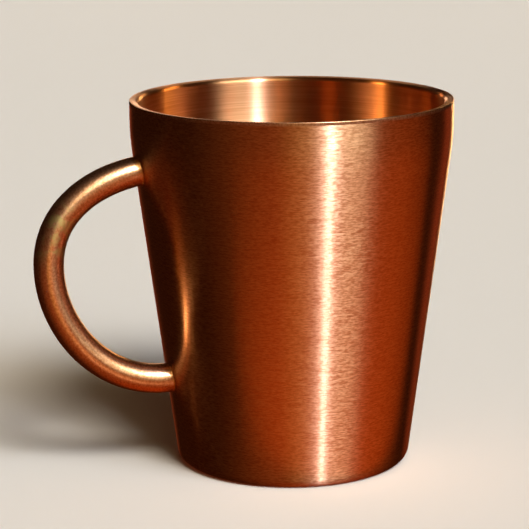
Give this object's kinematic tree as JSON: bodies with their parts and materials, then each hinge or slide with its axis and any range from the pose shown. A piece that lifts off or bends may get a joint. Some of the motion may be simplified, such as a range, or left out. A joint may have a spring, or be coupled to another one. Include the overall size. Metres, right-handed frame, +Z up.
{
  "type": "mug",
  "caption": "Double-walled metal mug with a tapered body, a straight band under the rim and a round tube handle.",
  "frame": {"origin": "on the mug's axis, on the plane that its foot ring stands on", "axes": "+Z up along the mug's axis; the handle reaches out along -X"},
  "size_m": [0.1147, 0.0868, 0.0995],
  "materials": {
    "brushed_copper": "copper-coloured plating on steel, finely brushed round the body",
    "liner_copper": "copper-coloured plating, satin",
    "polished_copper": "copper-coloured plating, half polished",
    "base_copper": "copper-coloured plating, matt",
    "weld": "ground and plated weld"
  },
  "bodies": {
    "root": {"outer_shell": "brushed_copper", "inner_cup": "liner_copper", "rim_weld": "polished_copper", "base_plate": "base_copper", "base_weld": "weld", "handle_tube": "polished_copper", "handle_weld_upper": "weld", "handle_weld_lower": "weld"}
  },
  "joints": []
}
